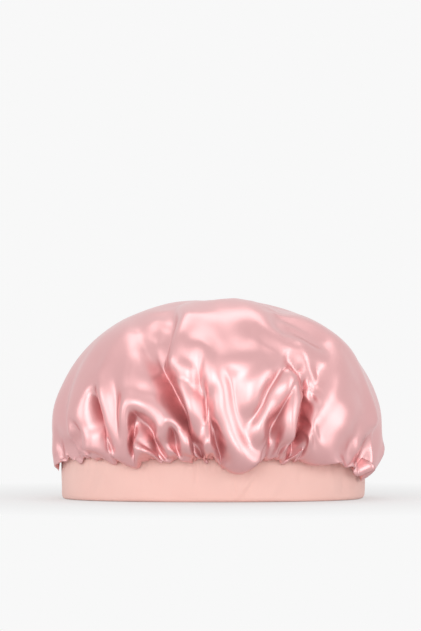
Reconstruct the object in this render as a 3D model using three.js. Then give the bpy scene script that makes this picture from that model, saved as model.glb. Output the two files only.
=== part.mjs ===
// A satin hair bonnet, standing open on its band as it sits round a head.
// A satin disc and its satin lining are gathered into the top of a folded jersey band that hides a flat elastic.
// Millimetres, +Z up, +X along the long side of the band, -Y towards the viewer.
// The origin is the middle of the head opening, in the plane of the band's lower fold.
import * as THREE from "three";

// Driving sizes of the band
const BAND_LONG = 216; // over the outside, along X
const BAND_SHORT = 150; // over the outside, along Y
const BAND_SQUARENESS = 2.2; // 2 is an ellipse, more is flatter on the sides
const JERSEY = 1; // one ply of the folded jersey
const ELASTIC_WIDTH = 25;
const ELASTIC_THICKNESS = 1.4;
const POCKET_GAP = 0.9; // room between the elastic and each ply
const ELASTIC_BUTT_GAP = 0.6; // between the two sewn ends of the elastic
const FOLD_FLAT = 2.4; // flat on the lower fold, where the bonnet stands
const FOLD_RISE = 1.8; // height over which the fold rounds into the plies
const SHOULDER = 4; // height over which the plies close on each other below the seam

// Driving sizes of the crown
const CROWN_LONG = 234; // of its smooth form, before the folds
const CROWN_SHORT = 190;
const CROWN_HEIGHT = 143; // from the fold of the band to the top
const CROWN_SQUARENESS = 2.1;
const FRONT_SQUARENESS = 2.8; // the front and back stand up more than the sides
const CROWN_LEAN = 3; // the crown sits this far to +X of the band
const CROWN_BULGE_HEIGHT = 45; // where the crown is widest
const SATIN = 0.8; // one layer of cloth with its body
const LINING_INSET = 20; // the lining hangs this far inside the crown

// Driving sizes of the seam and its threads
const SEAM_ALLOWANCE = 7.5; // raw edges standing above the seam line
const SEAM_TURN = 1; // height in which the cloth turns back at the seam line
const OVERLOCK = 0.6; // thickness of the edging of thread over the raw edges
const OVERLOCK_REACH = 3.5; // how far the edging comes down each side
const THREAD = 0.5;
const CLEARANCE = 0.3; // between pieces that lie against each other

// Driving sizes of the care label
const LABEL_WIDTH = 24;
const LABEL_LENGTH = 22;
const LABEL_THICKNESS = 0.8;
const LABEL_DROP = 1.2; // its hinge line lies this far below the seam line
const LABEL_GAP = 0.5; // from the band behind it

// Lobes of slack satin between the drawn-in gathers, going round from +X through the back.
// Each has its direction and half width in degrees, and how far it hangs below the seam line.
const LOBES = [
  { at: 346, half: 14, drop: 19 },
  { at: 16, half: 15, drop: 9 },
  { at: 48, half: 13, drop: 8 },
  { at: 76, half: 14, drop: 11 },
  { at: 104, half: 13, drop: 8 },
  { at: 131, half: 14, drop: 10 },
  { at: 158, half: 13, drop: 8 },
  { at: 186, half: 11, drop: 18 },
  { at: 216, half: 9, drop: 5 },
  { at: 231, half: 7, drop: 7 },
  { at: 285, half: 14, drop: 13 },
  { at: 325, half: 13, drop: 11 },
];
const LEAST_DROP = 3; // the satin hangs at least this far between the lobes

// Folds that rise from the gathers round the sides and back: direction at the seam and at the head of the fold,
// half width, all in degrees, then the height of the head and the depth.
const SIDE_FOLDS = [
  { foot: 6, head: 9, half: 6, top: 85, depth: 11 },
  { foot: 34, head: 30, half: 7, top: 105, depth: 13 },
  { foot: 62, head: 57, half: 7, top: 95, depth: 12 },
  { foot: 90, head: 93, half: 7, top: 110, depth: 13 },
  { foot: 117, head: 121, half: 7, top: 90, depth: 11 },
  { foot: 144, head: 140, half: 7, top: 100, depth: 13 },
  { foot: 172, head: 175, half: 6, top: 85, depth: 11 },
];

// Ridges and valleys across the front of the crown, as points seen from the front: distance to +X, height and depth.
// A ridge has a depth below 0. The satin runs smoothly from each line to the next.
const FRONT_FADE = 35; // the lines fade out this far before the sides of the crown
const FOLD_REACH = 30; // further than this from every line, the satin keeps to the smooth form
const FOLD_SOFTNESS = 7; // how much each line is rounded
const FRONT_FOLDS = [
  // the long valley from the top to the middle of the seam, and the dart's ridge at its head
  [[-46, 133, 2], [-42, 110, 12], [-31, 87, 19], [-23, 69, 19], [-10, 46, 15], [5, 27, 5]],
  [[-20, 141, -4], [-23, 115, -4]],
  // the big lobe: its ridge and the valley to its right
  [[-26, 112, -4], [0, 94, -7], [7, 66, -8], [23, 23, -6]],
  [[14, 77, 5], [23, 48, 8], [36, 27, 7]],
  // the leaf right of the middle: its top edge and rim, and the valley behind it
  [[1, 94, -5], [46, 104, -2]],
  [[53, 91, -6], [56, 77, -7], [45, 60, -6], [48, 43, -4]],
  [[53, 103, 7], [63, 87, 17], [65, 63, 19], [60, 43, 13], [63, 30, 6]],
  // the long ridges at the upper right
  [[64, 132, -3], [87, 115, -6], [91, 103, -7], [77, 70, -7], [73, 31, -7]],
  [[20, 140, -3], [37, 119, -5], [75, 100, -3]],
  // the valley at the right end
  [[101, 48, 3], [97, 39, 8], [94, 29, 8]],
  // the hairpin and the arches on the left
  [[-83, 78, 5], [-79, 60, 14], [-77, 49, 14], [-70, 30, 6]],
  [[-65, 34, -4], [-62, 58, -6], [-53, 72, -6], [-41, 63, -5], [-34, 57, -2]],
  [[-50, 54, 8], [-48, 33, 10]],
  [[-29, 47, 6], [-30, 30, 7]],
  // the left end and the wide left panel
  [[-103, 81, -2], [-97, 55, -5], [-95, 45, -3]],
  [[-79, 119, -2], [-74, 103, -3], [-66, 86, -4]],
];

// Resolution of the meshes
const STEPS_AROUND = 52; // the front of the crown has twice as many
const UNDERSIDE_RINGS = 4; // from the seam to the widest place
const DOME_RINGS = 12; // from the widest place to the top
const THREAD_SIDES = 5;

// Heights and layers that follow from the driving sizes
const bandHalf = ELASTIC_THICKNESS / 2 + POCKET_GAP + JERSEY;
const pocketHalf = bandHalf - JERSEY;
const elasticFoot = JERSEY + CLEARANCE;
const shoulderHeight = elasticFoot + ELASTIC_WIDTH + CLEARANCE;
const seamHeight = shoulderHeight + SHOULDER;
const edgeHeight = seamHeight + SEAM_ALLOWANCE;
const turnHeight = seamHeight + SEAM_TURN;
const pinchInner = CLEARANCE / 2;
const pinchOuter = pinchInner + JERSEY;
const satinLayer = pinchOuter + CLEARANCE + SATIN / 2; // middle of the satin's standing edge
const overlockInner = satinLayer + SATIN / 2 + CLEARANCE;
const overlockOuter = overlockInner + OVERLOCK;
const threadLayer = overlockInner + THREAD / 2;
const threadHeight = (turnHeight + edgeHeight - OVERLOCK_REACH) / 2 + CLEARANCE;

// Finishes
const satinPink = new THREE.MeshStandardMaterial({ color: 0xe6b0b4, roughness: 0.28, metalness: 0 });
const liningPink = new THREE.MeshStandardMaterial({ color: 0xe3b4b6, roughness: 0.32, metalness: 0 });
const jerseyPeach = new THREE.MeshStandardMaterial({ color: 0xf2c3bb, roughness: 0.9, metalness: 0 });
const elasticWhite = new THREE.MeshStandardMaterial({ color: 0xf3efe9, roughness: 0.8, metalness: 0 });
const threadPink = new THREE.MeshStandardMaterial({ color: 0xe9b9b4, roughness: 0.6, metalness: 0 });
const labelWhite = new THREE.MeshStandardMaterial({ color: 0xf7f3f0, roughness: 0.45, metalness: 0 });

const radians = (degrees) => (degrees * Math.PI) / 180;
const mix = (a, b, share) => a + (b - a) * share;
const smooth = (x) => {
  const t = Math.min(1, Math.max(0, x));
  return t * t * (3 - 2 * t);
};

// The radius of a squared oval with these half sides, in the direction of an angle.
function ovalRadius(angle, halfLong, halfShort, squareness) {
  const x = Math.abs(Math.cos(angle)) / halfLong;
  const y = Math.abs(Math.sin(angle)) / halfShort;
  return (x ** squareness + y ** squareness) ** (-1 / squareness);
}

// A point that lies the given distance outside the middle line of the band.
function bandPoint(angle, outside, height) {
  const halfLong = BAND_LONG / 2 - bandHalf;
  const halfShort = BAND_SHORT / 2 - bandHalf;
  const r = ovalRadius(angle, halfLong, halfShort, BAND_SQUARENESS);
  const x = r * Math.cos(angle);
  const y = r * Math.sin(angle);
  const slope = BAND_SQUARENESS - 1;
  const nx = (Math.sign(x) * (Math.abs(x) / halfLong) ** slope) / halfLong;
  const ny = (Math.sign(y) * (Math.abs(y) / halfShort) ** slope) / halfShort;
  const length = Math.hypot(nx, ny);
  return new THREE.Vector3(x + (outside * nx) / length, y + (outside * ny) / length, height);
}

// A closed body from vertices and faces of three or four corners.
function body(vertices, faces) {
  const index = [];
  for (const face of faces) {
    index.push(face[0], face[1], face[2]);
    if (face.length === 4) index.push(face[0], face[2], face[3]);
  }
  const geometry = new THREE.BufferGeometry().setFromPoints(vertices);
  geometry.setIndex(index);
  geometry.computeVertexNormals();
  return geometry;
}

// A section of [distance outside the band's middle line, height] swept round the band.
// A sweep of less than a full turn has its two ends closed.
const FULL_TURN = 2 * Math.PI;
function bandSweep(section, from = 0, turn = FULL_TURN) {
  const vertices = [];
  const faces = [];
  const corners = section.length;
  const joined = turn === FULL_TURN;
  const rows = joined ? STEPS_AROUND : STEPS_AROUND + 1;
  for (let row = 0; row < rows; row++) {
    const angle = from + (turn * row) / STEPS_AROUND;
    for (const [outside, height] of section) vertices.push(bandPoint(angle, outside, height));
  }
  for (let row = 0; row < STEPS_AROUND; row++) {
    const here = row * corners;
    const next = ((row + 1) % rows) * corners;
    for (let k = 0; k < corners; k++) {
      const k1 = (k + 1) % corners;
      faces.push([here + k, next + k, next + k1, here + k1]);
    }
  }
  if (joined) return body(vertices, faces);
  const outline = section.map(([outside, height]) => new THREE.Vector2(outside, height));
  const last = STEPS_AROUND * corners;
  for (const [a, b, c] of THREE.ShapeUtils.triangulateShape(outline, [])) {
    faces.push([a, b, c]);
    faces.push([last + c, last + b, last + a]);
  }
  return body(vertices, faces);
}

// A regular polygon of points round a centre, for the section of a thread.
function threadSection(centreX, centreY) {
  const section = [];
  for (let k = 0; k < THREAD_SIDES; k++) {
    const turn = (FULL_TURN * k) / THREAD_SIDES;
    section.push([centreX + (THREAD / 2) * Math.cos(turn), centreY + (THREAD / 2) * Math.sin(turn)]);
  }
  return section;
}

// A thread that runs through a line of points, rounding each turn.
const STEPS_PER_STITCH = 3;
function threadAlong(points) {
  const path = new THREE.CatmullRomCurve3(points, false, "centripetal");
  const section = new THREE.Shape(threadSection(0, 0).map(([x, y]) => new THREE.Vector2(x, y)));
  const steps = STEPS_PER_STITCH * (points.length - 1);
  return new THREE.ExtrudeGeometry(section, { steps, extrudePath: path, curveSegments: 1 });
}

// A thin layer of cloth given as rings of points from its raw edge to the ring below its top, and the top point.
function clothShell(rings, top) {
  const count = rings.length;
  const steps = rings[0].length;
  const at = (row, step) => rings[row][(step + steps) % steps];
  const outer = [];
  const inner = [];
  for (let row = 0; row < count; row++) {
    for (let step = 0; step < steps; step++) {
      const before = row > 0 ? at(row - 1, step) : at(row, step);
      const after = row < count - 1 ? at(row + 1, step) : top;
      const up = new THREE.Vector3().subVectors(after, before).normalize();
      const around = new THREE.Vector3().subVectors(at(row, step + 1), at(row, step - 1)).normalize();
      const normal = new THREE.Vector3().crossVectors(around, up).normalize();
      outer.push(at(row, step).clone().addScaledVector(normal, SATIN / 2));
      inner.push(at(row, step).clone().addScaledVector(normal, -SATIN / 2));
    }
  }
  const upwards = new THREE.Vector3(0, 0, SATIN / 2);
  const vertices = [...outer, ...inner, top.clone().add(upwards), top.clone().sub(upwards)];
  const innerFirst = outer.length;
  const outerTop = 2 * innerFirst;
  const innerTop = outerTop + 1;
  const faces = [];
  for (let step = 0; step < steps; step++) {
    const next = (step + 1) % steps;
    for (let row = 0; row < count - 1; row++) {
      const low = row * steps;
      const high = low + steps;
      const corners = [low + step, low + next, high + next, high + step];
      const [a, b, c, d] = [at(row, step), at(row, next), at(row + 1, next), at(row + 1, step)];
      if (a.distanceTo(c) > b.distanceTo(d)) corners.push(corners.shift()); // split it the shorter way
      const [k, l, m, n] = corners;
      faces.push([k, l, m, n]);
      faces.push([innerFirst + k, innerFirst + n, innerFirst + m, innerFirst + l]);
    }
    const last = (count - 1) * steps;
    faces.push([last + step, last + next, outerTop]);
    faces.push([innerFirst + last + step, innerTop, innerFirst + last + next]);
    faces.push([step, innerFirst + step, innerFirst + next, next]);
  }
  return body(vertices, faces);
}

// The folded jersey strip: two plies joined at the lower fold, closing on each other at the seam.
function bandJersey() {
  const foldInner = JERSEY;
  const rightSide = [
    [FOLD_FLAT / 2, 0],
    [bandHalf, FOLD_RISE],
    [bandHalf, shoulderHeight],
    [pinchOuter, seamHeight],
    [pinchOuter, edgeHeight],
    [pinchInner, edgeHeight],
    [pinchInner, seamHeight],
    [pocketHalf, shoulderHeight],
    [pocketHalf, foldInner],
  ];
  const leftSide = rightSide.map(([outside, height]) => [-outside, height]).reverse();
  return bandSweep([...rightSide, ...leftSide]);
}

// The flat elastic in the pocket of the band, cut to length, its two ends butted at the back.
const backAngle = Math.PI / 2;
const elasticMiddleRadius = ovalRadius(backAngle, BAND_LONG / 2 - bandHalf, BAND_SHORT / 2 - bandHalf, BAND_SQUARENESS);
function bandElastic() {
  const half = ELASTIC_THICKNESS / 2;
  const top = elasticFoot + ELASTIC_WIDTH;
  const section = [[half, elasticFoot], [half, top], [-half, top], [-half, elasticFoot]];
  const gapAngle = ELASTIC_BUTT_GAP / 2 / elasticMiddleRadius;
  return bandSweep(section, backAngle + gapAngle, FULL_TURN - 2 * gapAngle);
}

// A zigzag of thread across a join, at a distance outside the band's middle line, from low to high.
const ZIGZAG_PITCH = 2.6;
function zigzag(angle, outside, halfWidth, low, high) {
  const turns = Math.max(2, Math.round((high - low) / ZIGZAG_PITCH));
  const points = [];
  for (let k = 0; k <= turns; k++) {
    const side = k % 2 === 0 ? halfWidth : -halfWidth;
    points.push(bandPoint(angle + side / elasticMiddleRadius, outside, mix(low, high, k / turns)));
  }
  return threadAlong(points);
}

// The zigzag that joins the elastic's two ends lies on its inner face.
const STITCH_MARGIN = 2; // stitches stop this far from the edges of what they join
const JOIN_HALF_WIDTH = 3;
const stitchLayer = ELASTIC_THICKNESS / 2 + POCKET_GAP / 2;
function elasticJoinStitches() {
  const low = elasticFoot + STITCH_MARGIN;
  const high = elasticFoot + ELASTIC_WIDTH - STITCH_MARGIN;
  return zigzag(backAngle, -stitchLayer, JOIN_HALF_WIDTH, low, high);
}

// The row of stitches that closes the jersey strip into a ring, inside the outer ply at the back.
const BAND_SEAM_HALF_WIDTH = 1;
function bandSeamStitches() {
  const low = elasticFoot + STITCH_MARGIN;
  return zigzag(backAngle, stitchLayer, BAND_SEAM_HALF_WIDTH, low, shoulderHeight - STITCH_MARGIN);
}

// The overlocked thread that holds all the raw edges together, as an edging over their top.
function seamOverlock() {
  const foot = edgeHeight - OVERLOCK_REACH;
  const under = edgeHeight + CLEARANCE;
  const rightSide = [
    [overlockInner, foot],
    [overlockOuter, foot],
    [overlockOuter, under],
    [overlockInner, under + OVERLOCK],
  ];
  const leftSide = rightSide.slice(1).map(([outside, height]) => [-outside, height]).reverse();
  const inside = [[-overlockInner, foot], [-overlockInner, under], [overlockInner, under]];
  return bandSweep([...rightSide, ...leftSide, ...inside]);
}

// The turn between two directions, from nothing to half a turn.
const turnBetween = (a, b) => Math.abs(Math.atan2(Math.sin(a - b), Math.cos(a - b)));

// How far the satin hangs below the seam in this direction.
function lobeDrop(angle) {
  let drop = LEAST_DROP;
  for (const lobe of LOBES) {
    const away = Math.min(1, turnBetween(angle, radians(lobe.at)) / radians(lobe.half));
    drop = Math.max(drop, mix(LEAST_DROP, lobe.drop, (1 - away ** 2) ** 0.75));
  }
  return drop;
}

// The inward depth of the folds round the sides and back.
function sideFoldDepth(angle, height) {
  let depth = 0;
  for (const fold of SIDE_FOLDS) {
    const rise = Math.min(1, Math.max(0, (height - turnHeight) / (fold.top - turnHeight)));
    const away = turnBetween(angle, radians(mix(fold.foot, fold.head, rise))) / radians(fold.half);
    depth = Math.max(depth, fold.depth * (1 - rise ** 2) * Math.exp(-(away ** 2)));
  }
  return depth;
}

// The inward depth of the ridges and valleys across the front, where nearer lines count more.
function frontFoldDepth(point) {
  const seen = new THREE.Vector3(point.x, 0, point.z);
  const nearest = new THREE.Vector3();
  let total = 0;
  let weights = FOLD_REACH ** -3;
  for (const line of FRONT_FOLDS) {
    let away = Infinity;
    let depth = 0;
    for (let k = 1; k < line.length; k++) {
      const [x0, z0, depth0] = line[k - 1];
      const [x1, z1, depth1] = line[k];
      const piece = new THREE.Line3(new THREE.Vector3(x0, 0, z0), new THREE.Vector3(x1, 0, z1));
      const share = piece.closestPointToPointParameter(seen, true);
      const distance = piece.at(share, nearest).distanceTo(seen);
      if (distance < away) {
        away = distance;
        depth = mix(depth0, depth1, share);
      }
    }
    const weight = (away ** 2 + FOLD_SOFTNESS ** 2) ** -1.5;
    total += weight * depth;
    weights += weight;
  }
  return (total / weights) * smooth(-point.y / FRONT_FADE);
}

// A point on the smooth form of the crown, before its folds, brought in by an inset all round.
// The lift runs from 0 at the widest place to a right angle at the top.
function domePoint(angle, lift, inset) {
  const wide = ovalRadius(angle, CROWN_LONG / 2 - inset, CROWN_SHORT / 2 - inset, CROWN_SQUARENESS);
  const squareness = mix(CROWN_SQUARENESS, FRONT_SQUARENESS, Math.sin(angle) ** 2);
  const across = wide * Math.max(0, Math.cos(lift)) ** (2 / squareness);
  const up = Math.max(0, Math.sin(lift)) ** (2 / squareness);
  const height = mix(CROWN_BULGE_HEIGHT, CROWN_HEIGHT - SATIN / 2 - inset, up);
  return new THREE.Vector3(CROWN_LEAN + across * Math.cos(angle), across * Math.sin(angle), height);
}

// A point of the crown with its folds, which go in towards its middle and stay clear of the band and its seam.
const clearOfBand = bandHalf + SATIN / 2 + 2 * CLEARANCE;
function folded(point, angle, strength) {
  const above = Math.max(0, point.z - CROWN_BULGE_HEIGHT);
  const clear = bandPoint(Math.atan2(point.y, point.x), clearOfBand, 0).length();
  const room = Math.max(0, Math.hypot(point.x, point.y) - clear) + above;
  const depth = Math.min(room, sideFoldDepth(angle, point.z) + frontFoldDepth(point));
  const outwards = new THREE.Vector3(point.x - CROWN_LEAN, point.y, above).normalize();
  return point.clone().addScaledVector(outwards, -strength * depth);
}

const stepAngle = FULL_TURN / STEPS_AROUND;
const aroundAngles = Array.from({ length: STEPS_AROUND }, (_, step) => step * stepAngle);
const crownAngles = aroundAngles.flatMap((angle) => (angle < Math.PI ? [angle] : [angle, angle + stepAngle / 2]));
const domeLift = (ring) => (ring / DOME_RINGS) ** 1.7 * (Math.PI / 2);

// A point on the flat facets of the band's rings, in a direction that may lie between two of their corners.
function bandFacetPoint(angle, outside, height) {
  const before = Math.floor(angle / stepAngle + 1e-6);
  const corner = bandPoint(before * stepAngle, outside, height);
  return corner.lerp(bandPoint((before + 1) * stepAngle, outside, height), angle / stepAngle - before);
}

// The satin disc: a standing raw edge, the turn over the seam, the lobes hanging over the band and the dome.
function crownSatin() {
  const seamRing = (outside, height) => crownAngles.map((angle) => bandFacetPoint(angle, outside, height));
  const rings = [
    seamRing(satinLayer, edgeHeight),
    seamRing(satinLayer, turnHeight),
    seamRing(clearOfBand, turnHeight),
  ];
  for (let ring = 1; ring < UNDERSIDE_RINGS; ring++) {
    const share = ring / UNDERSIDE_RINGS;
    const row = crownAngles.map((angle) => {
      const seam = bandFacetPoint(angle, clearOfBand, turnHeight);
      const point = seam.lerp(domePoint(angle, 0, 0), Math.sin((share * Math.PI) / 2));
      point.z = mix(turnHeight, CROWN_BULGE_HEIGHT, share * share) - lobeDrop(angle) * Math.sin(Math.PI * share);
      return folded(point, angle, share);
    });
    rings.push(row);
  }
  for (let ring = 0; ring < DOME_RINGS; ring++) {
    rings.push(crownAngles.map((angle) => folded(domePoint(angle, domeLift(ring), 0), angle, 1)));
  }
  return clothShell(rings, folded(domePoint(0, Math.PI / 2, 0), 0, 1));
}

// The lining: sewn to the inner ply, it rises inside the seam's raw edges and fills the crown as a smooth dome.
function crownLining() {
  const liningLayer = overlockOuter + CLEARANCE + SATIN;
  const passHeight = edgeHeight + CLEARANCE + OVERLOCK + SATIN;
  const rings = [
    aroundAngles.map((angle) => bandPoint(angle, -satinLayer, edgeHeight)),
    aroundAngles.map((angle) => bandPoint(angle, -satinLayer, turnHeight)),
    aroundAngles.map((angle) => bandPoint(angle, -liningLayer, turnHeight + SATIN)),
    aroundAngles.map((angle) => bandPoint(angle, -liningLayer, passHeight)),
  ];
  for (let ring = 1; ring < DOME_RINGS; ring++) {
    rings.push(aroundAngles.map((angle) => domePoint(angle, domeLift(ring), LINING_INSET)));
  }
  return clothShell(rings, domePoint(0, Math.PI / 2, LINING_INSET));
}

// A folded tab of white ribbon, blank, that hangs from the seam inside the back of the band.
const backWall = BAND_SHORT / 2 - 2 * bandHalf;
const halfLabel = LABEL_WIDTH / 2;
const labelCurveAngle = Math.acos(halfLabel / Math.hypot(halfLabel, backWall));
const wallAtLabelEdge = bandPoint(labelCurveAngle, -bandHalf, 0).y;
const labelHinge = new THREE.Vector3(0, wallAtLabelEdge - LABEL_GAP - LABEL_THICKNESS / 2, seamHeight - LABEL_DROP);
function careLabel() {
  const corner = LABEL_THICKNESS;
  const outline = new THREE.Shape();
  outline.moveTo(-halfLabel, LABEL_THICKNESS / 2);
  outline.lineTo(-halfLabel, corner - LABEL_LENGTH);
  outline.lineTo(corner - halfLabel, -LABEL_LENGTH);
  outline.lineTo(halfLabel - corner, -LABEL_LENGTH);
  outline.lineTo(halfLabel, corner - LABEL_LENGTH);
  outline.lineTo(halfLabel, LABEL_THICKNESS / 2);
  const tab = new THREE.ExtrudeGeometry(outline, { depth: LABEL_THICKNESS, bevelEnabled: false });
  tab.translate(0, 0, -LABEL_THICKNESS / 2);
  return tab.rotateX(Math.PI / 2);
}

const bonnet = new THREE.Group();
function add(name, geometry, material, parent = bonnet) {
  const mesh = new THREE.Mesh(geometry, material);
  mesh.name = name;
  parent.add(mesh);
}

add("band_jersey", bandJersey(), jerseyPeach);
add("band_elastic", bandElastic(), elasticWhite);
add("elastic_join_stitches", elasticJoinStitches(), threadPink);
add("band_seam_stitches", bandSeamStitches(), threadPink);
add("crown_satin", crownSatin(), satinPink);
add("crown_lining", crownLining(), liningPink);
add("crown_gathering_thread", bandSweep(threadSection(threadLayer, threadHeight)), threadPink);
add("lining_gathering_thread", bandSweep(threadSection(-threadLayer, threadHeight)), threadPink);
add("seam_overlock", seamOverlock(), threadPink);

const labelHanger = new THREE.Group();
labelHanger.position.copy(labelHinge);
bonnet.add(labelHanger);
add("care_label", careLabel(), labelWhite, labelHanger);

export default bonnet;
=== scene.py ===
"""The looks of a satin hair bonnet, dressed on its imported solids.

Metres, +Z up. The lower fold of the band lies on the floor, and -Y faces the camera.
"""
import math

import bpy
import numpy as np
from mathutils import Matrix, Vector
from mathutils.bvhtree import BVHTree


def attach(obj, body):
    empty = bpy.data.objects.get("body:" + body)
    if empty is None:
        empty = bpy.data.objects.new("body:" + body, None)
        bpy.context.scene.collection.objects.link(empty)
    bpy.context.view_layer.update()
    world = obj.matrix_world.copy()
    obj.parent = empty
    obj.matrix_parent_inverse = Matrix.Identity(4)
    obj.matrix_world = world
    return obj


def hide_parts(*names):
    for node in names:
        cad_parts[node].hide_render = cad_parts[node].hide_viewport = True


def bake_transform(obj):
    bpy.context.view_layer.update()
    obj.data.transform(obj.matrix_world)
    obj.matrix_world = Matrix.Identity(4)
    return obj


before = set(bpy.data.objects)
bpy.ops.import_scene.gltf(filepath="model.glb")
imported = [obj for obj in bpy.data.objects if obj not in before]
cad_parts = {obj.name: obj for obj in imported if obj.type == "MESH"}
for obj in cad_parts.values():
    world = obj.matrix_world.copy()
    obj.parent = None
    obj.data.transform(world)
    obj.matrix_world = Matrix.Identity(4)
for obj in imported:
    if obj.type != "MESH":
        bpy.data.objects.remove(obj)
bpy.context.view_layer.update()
scene = bpy.context.scene


# Elastic. A flat white braid of rubber cores wrapped in polyester, cut to the length of the band.
# The cores show as ribs that run round the head, and the two ends butt at the back.
BAND_HALF_LONG = 0.1054  # to the middle line between the two plies of the band
BAND_HALF_SHORT = 0.0724
BAND_SQUARENESS = 2.2  # 2 is an ellipse, more is flatter on the sides
FULL_TURN = 2 * math.pi
BACK = math.pi / 2
ELASTIC_FOOT = 0.0013
ELASTIC_WIDTH = 0.025
ELASTIC_THICKNESS = 0.0014
ELASTIC_BUTT_GAP = 0.0006
ELASTIC_RIBS = 9
ELASTIC_GROOVE = 0.4  # share of the thickness that is lost between two ribs
ELASTIC_WHITE = (0.86, 0.83, 0.79, 1)
# painted shade: the colour of the grooves between the ribs, darker where shade falls there
ELASTIC_PAINTED_GROOVE_SHADE = (0.72, 0.68, 0.64, 1)


def oval_radius(angle, half_long, half_short, squareness):
    """Distance from the middle to a squared oval, in the direction of an angle."""
    along = (np.abs(np.cos(angle)) / half_long) ** squareness
    across = (np.abs(np.sin(angle)) / half_short) ** squareness
    return (along + across) ** (-1 / squareness)


def band_outwards(x, y):
    """Level directions square to the band at points near its middle line."""
    slope = BAND_SQUARENESS - 1
    out_x = np.sign(x) * (np.abs(x) / BAND_HALF_LONG) ** slope / BAND_HALF_LONG
    out_y = np.sign(y) * (np.abs(y) / BAND_HALF_SHORT) ** slope / BAND_HALF_SHORT
    length = np.hypot(out_x, out_y)
    return out_x / length, out_y / length


def band_points(angle, outside, height):
    """Points that lie a distance outside the band's middle line, at a height."""
    radius = oval_radius(angle, BAND_HALF_LONG, BAND_HALF_SHORT, BAND_SQUARENESS)
    x, y = radius * np.cos(angle), radius * np.sin(angle)
    out_x, out_y = band_outwards(x, y)
    return np.stack(np.broadcast_arrays(x + outside * out_x, y + outside * out_y, height), axis=-1)


def strip_faces(rows, columns, length, width, joined):
    """Quads over a strip of cloth, and the place of each corner on the flat strip, in metres.

    A joined strip is a ring: its last column meets its first.
    """
    steps = columns if joined else columns - 1
    row, column = np.meshgrid(np.arange(rows - 1), np.arange(steps), indexing="ij")
    row, column = row.ravel(), column.ravel()
    after = (column + 1) % columns
    low, high = row * columns, (row + 1) * columns
    faces = np.stack([low + column, low + after, high + after, high + column], axis=1)
    around = np.stack([column, column + 1, column + 1, column], axis=1) * length / steps
    across = np.stack([row, row, row + 1, row + 1], axis=1) * width / (rows - 1)
    return faces, np.stack([around, across], axis=-1)


def cloth_piece(name, points, faces, flat):
    """A smooth sheet at the origin. flat is each face corner's place on the cut cloth, kept as a UV map."""
    mesh = bpy.data.meshes.new(name)
    mesh.from_pydata(np.reshape(points, (-1, 3)).tolist(), [], np.asarray(faces).tolist())
    layer = mesh.uv_layers.new(name="cloth")
    layer.data.foreach_set("uv", np.ravel(flat).astype(np.float32))
    mesh.shade_smooth()
    piece = bpy.data.objects.new(name, mesh)
    scene.collection.objects.link(piece)
    return piece


def give_thickness(piece, thickness, offset=0.0):
    """Thickens a sheet with a live modifier; an offset of -1 keeps its face where it is."""
    solidify = piece.modifiers.new("thickness", "SOLIDIFY")
    solidify.thickness = thickness
    solidify.offset = offset
    return solidify


def set_inputs(tree, node, inputs):
    """Sets a node's inputs to values, or links them to other nodes' output sockets."""
    for name, value in inputs.items():
        if isinstance(value, bpy.types.NodeSocket):
            tree.links.new(value, node.inputs[name])
        else:
            node.inputs[name].default_value = value


def add_node(tree, kind, inputs=None, **settings):
    """Adds a node to a tree, with its inputs and settings."""
    node = tree.nodes.new(kind)
    for name, value in settings.items():
        setattr(node, name, value)
    set_inputs(tree, node, inputs or {})
    return node


def new_material(name):
    """A material with its node tree and its shader."""
    material = bpy.data.materials.new(name)
    material.use_nodes = True
    return material, material.node_tree, material.node_tree.nodes["Principled BSDF"]


def two_tones(tree, amount, low, high):
    """A colour that goes from low to high as amount goes from 0 to 1."""
    ramp = add_node(tree, "ShaderNodeValToRGB", {"Fac": amount})
    ramp.color_ramp.elements[0].color = low
    ramp.color_ramp.elements[1].color = high
    return ramp.outputs["Color"]


def cloth_waves(tree, pitch, direction):
    """Waves over the flat cloth, one for each pitch in metres, along X, Y or the diagonal of the cut."""
    place = add_node(tree, "ShaderNodeUVMap", uv_map="cloth")
    scale = FULL_TURN / 20 / pitch  # Blender's wave bands are a twentieth of a turn
    return add_node(
        tree, "ShaderNodeTexWave", {"Vector": place.outputs["UV"], "Scale": scale},
        bands_direction=direction, wave_profile="SIN",
    ).outputs["Fac"]


def embossed(tree, height, strength, distance):
    """Normals of a surface with a pattern raised on it."""
    bump = add_node(tree, "ShaderNodeBump", {"Height": height, "Strength": strength, "Distance": distance})
    return bump.outputs["Normal"]


def elastic_braid():
    """White ribs of wrapped rubber, crossed by the fine braid that covers them, with painted shade darkening
    the grooves between the ribs.
    """
    material, tree, shader = new_material("elastic_braid")
    ribs = cloth_waves(tree, ELASTIC_WIDTH / ELASTIC_RIBS, "Y")
    braid = cloth_waves(tree, 0.0009, "X")
    # the colour is white on the rib tops and a painted shade in the grooves between them
    set_inputs(tree, shader, {
        "Base Color": two_tones(tree, ribs, ELASTIC_PAINTED_GROOVE_SHADE, ELASTIC_WHITE),
        "Normal": embossed(tree, braid, strength=0.5, distance=0.0002),
        "Roughness": 0.75, "Sheen Weight": 0.2,
    })
    return material


elastic_rows = ELASTIC_RIBS * 6 + 1
elastic_columns = 150
elastic_length = 0.571
butt_angle = ELASTIC_BUTT_GAP / 2 / BAND_HALF_SHORT
elastic_angles = np.linspace(BACK + butt_angle, BACK + FULL_TURN - butt_angle, elastic_columns)
elastic_heights = np.linspace(ELASTIC_FOOT, ELASTIC_FOOT + ELASTIC_WIDTH, elastic_rows)
elastic_points = band_points(elastic_angles[None, :], 0, elastic_heights[:, None])
elastic = cloth_piece(
    "elastic_tape", elastic_points,
    *strip_faces(elastic_rows, elastic_columns, elastic_length, ELASTIC_WIDTH, joined=False),
)
ribs = elastic.vertex_groups.new(name="ribs")
for row in range(elastic_rows):
    fullness = 1 - ELASTIC_GROOVE * abs(math.cos(math.pi * ELASTIC_RIBS * row / (elastic_rows - 1)))
    ribs.add(range(row * elastic_columns, (row + 1) * elastic_columns), fullness, "REPLACE")
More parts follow.
